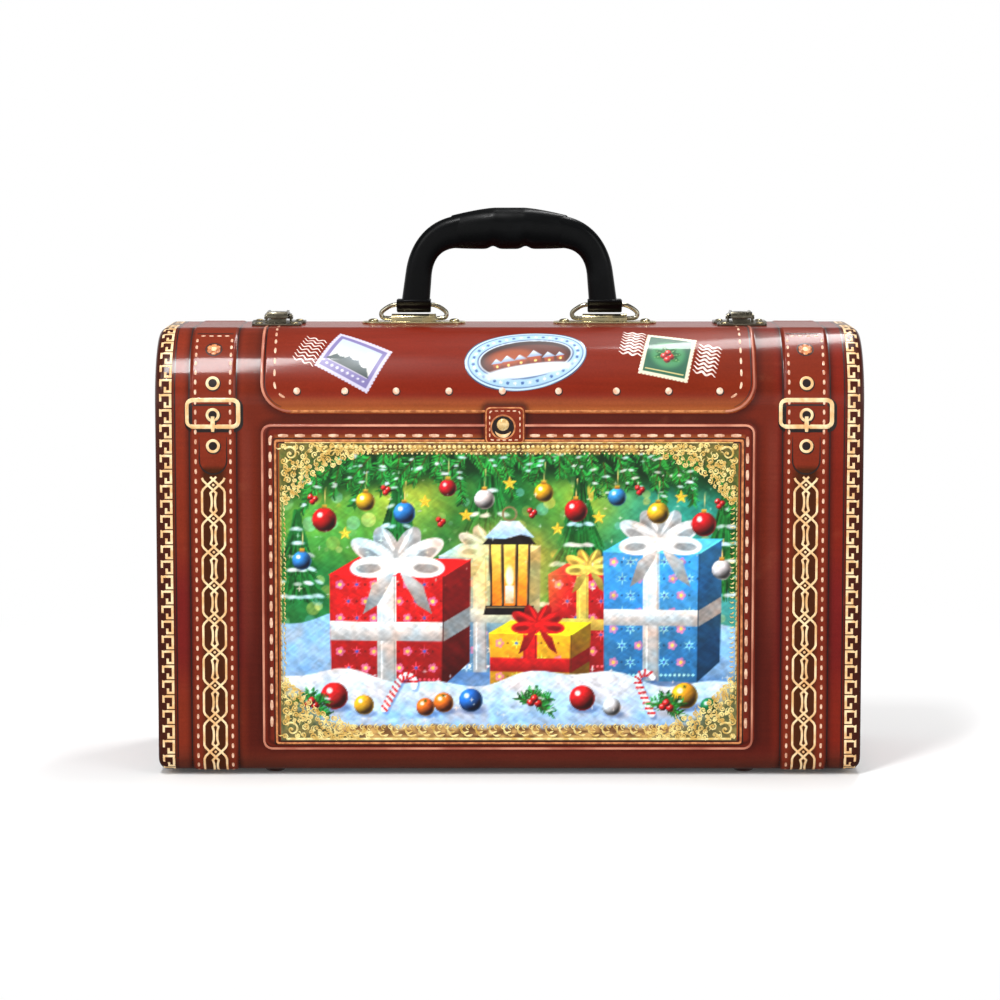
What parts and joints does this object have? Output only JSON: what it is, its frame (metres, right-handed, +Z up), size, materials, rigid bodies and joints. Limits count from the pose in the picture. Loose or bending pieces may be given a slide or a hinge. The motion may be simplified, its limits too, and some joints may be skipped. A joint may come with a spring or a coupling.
{
  "type": "suitcase gift tin",
  "caption": "Suitcase-shaped tinplate gift box that stands on its hinged long side, opens like a clamshell, and has draw latches and a folding carry handle on top.",
  "frame": {"origin": "on the floor, midway across the case and on the seam between its two halves", "axes": "+X to the right along the long side, +Y from the lid with the picture to the back, +Z up towards the handle"},
  "size_m": [0.31, 0.1063, 0.2481],
  "materials": {
    "printed_tin": "glossy brown leather print on embossed tinplate",
    "bare_tin": "bare bright tinplate",
    "brass_plate": "pale brass-plated steel",
    "steel_pin": "zinc-plated steel",
    "black_plastic": "moulded black plastic, satin gloss"
  },
  "bodies": {
    "case_back": {"back_shell": "printed_tin", "rim_band": "bare_tin", "left_hinge_body_leaf": "steel_pin", "right_hinge_body_leaf": "steel_pin", "left_hinge_pin": "steel_pin", "right_hinge_pin": "steel_pin", "left_body_hinge_rivet_a": "steel_pin", "left_body_hinge_rivet_b": "steel_pin", "right_body_hinge_rivet_a": "steel_pin", "right_body_hinge_rivet_b": "steel_pin", "left_handle_plate": "brass_plate", "right_handle_plate": "brass_plate", "left_plate_rivet_a": "brass_plate", "left_plate_rivet_b": "brass_plate", "right_plate_rivet_a": "brass_plate", "right_plate_rivet_b": "brass_plate", "left_latch_base": "brass_plate", "right_latch_base": "brass_plate", "left_lever_pin": "steel_pin", "right_lever_pin": "steel_pin", "left_base_rivet_a": "brass_plate", "left_base_rivet_b": "brass_plate", "right_base_rivet_a": "brass_plate", "right_base_rivet_b": "brass_plate"},
    "lid": {"front_shell": "printed_tin", "left_hinge_lid_leaf": "steel_pin", "right_hinge_lid_leaf": "steel_pin", "left_lid_hinge_rivet_a": "steel_pin", "left_lid_hinge_rivet_b": "steel_pin", "right_lid_hinge_rivet_a": "steel_pin", "right_lid_hinge_rivet_b": "steel_pin", "left_latch_strike": "brass_plate", "right_latch_strike": "brass_plate", "left_strike_rivet_a": "brass_plate", "left_strike_rivet_b": "brass_plate", "right_strike_rivet_a": "brass_plate", "right_strike_rivet_b": "brass_plate"},
    "rings": {"left_handle_ring": "brass_plate", "right_handle_ring": "brass_plate"},
    "handle": {"handle": "black_plastic"},
    "left_lever": {"left_latch_lever": "brass_plate", "left_link_pin": "steel_pin"},
    "right_lever": {"right_latch_lever": "brass_plate", "right_link_pin": "steel_pin"},
    "left_link": {"left_latch_link": "brass_plate"},
    "right_link": {"right_latch_link": "brass_plate"}
  },
  "joints": [
    {"name": "lid_open", "type": "hinge", "parent": "case_back", "child": "lid", "pos_m": [0, 0, 0.00155], "axis": [1, 0, 0], "range_deg": [0, 170]},
    {"name": "ring_fold", "type": "hinge", "parent": "case_back", "child": "rings", "pos_m": [0, 0.009, 0.1982], "axis": [-1, 0, 0], "range_deg": [-45, 45]},
    {"name": "handle_swing", "type": "hinge", "parent": "rings", "child": "handle", "pos_m": [0, 0.009, 0.2042], "axis": [-1, 0, 0], "range_deg": [-40, 50]},
    {"name": "left_latch_open", "type": "hinge", "parent": "case_back", "child": "left_lever", "pos_m": [-0.104, 0.0055, 0.19895], "axis": [1, 0, 0], "range_deg": [-8, 85]},
    {"name": "right_latch_open", "type": "hinge", "parent": "case_back", "child": "right_lever", "pos_m": [0.104, 0.0055, 0.19895], "axis": [1, 0, 0], "range_deg": [-8, 85]},
    {"name": "left_link_tilt", "type": "hinge", "parent": "left_lever", "child": "left_link", "pos_m": [-0.104, 0.01009, 0.19919], "axis": [1, 0, 0], "range_deg": [-111, 11]},
    {"name": "right_link_tilt", "type": "hinge", "parent": "right_lever", "child": "right_link", "pos_m": [0.104, 0.01009, 0.19919], "axis": [1, 0, 0], "range_deg": [-111, 11]}
  ],
  "couplings": [
    {"joint": "left_link_tilt", "follows": "left_latch_open", "ratio": -1.3},
    {"joint": "right_link_tilt", "follows": "right_latch_open", "ratio": -1.3}
  ]
}
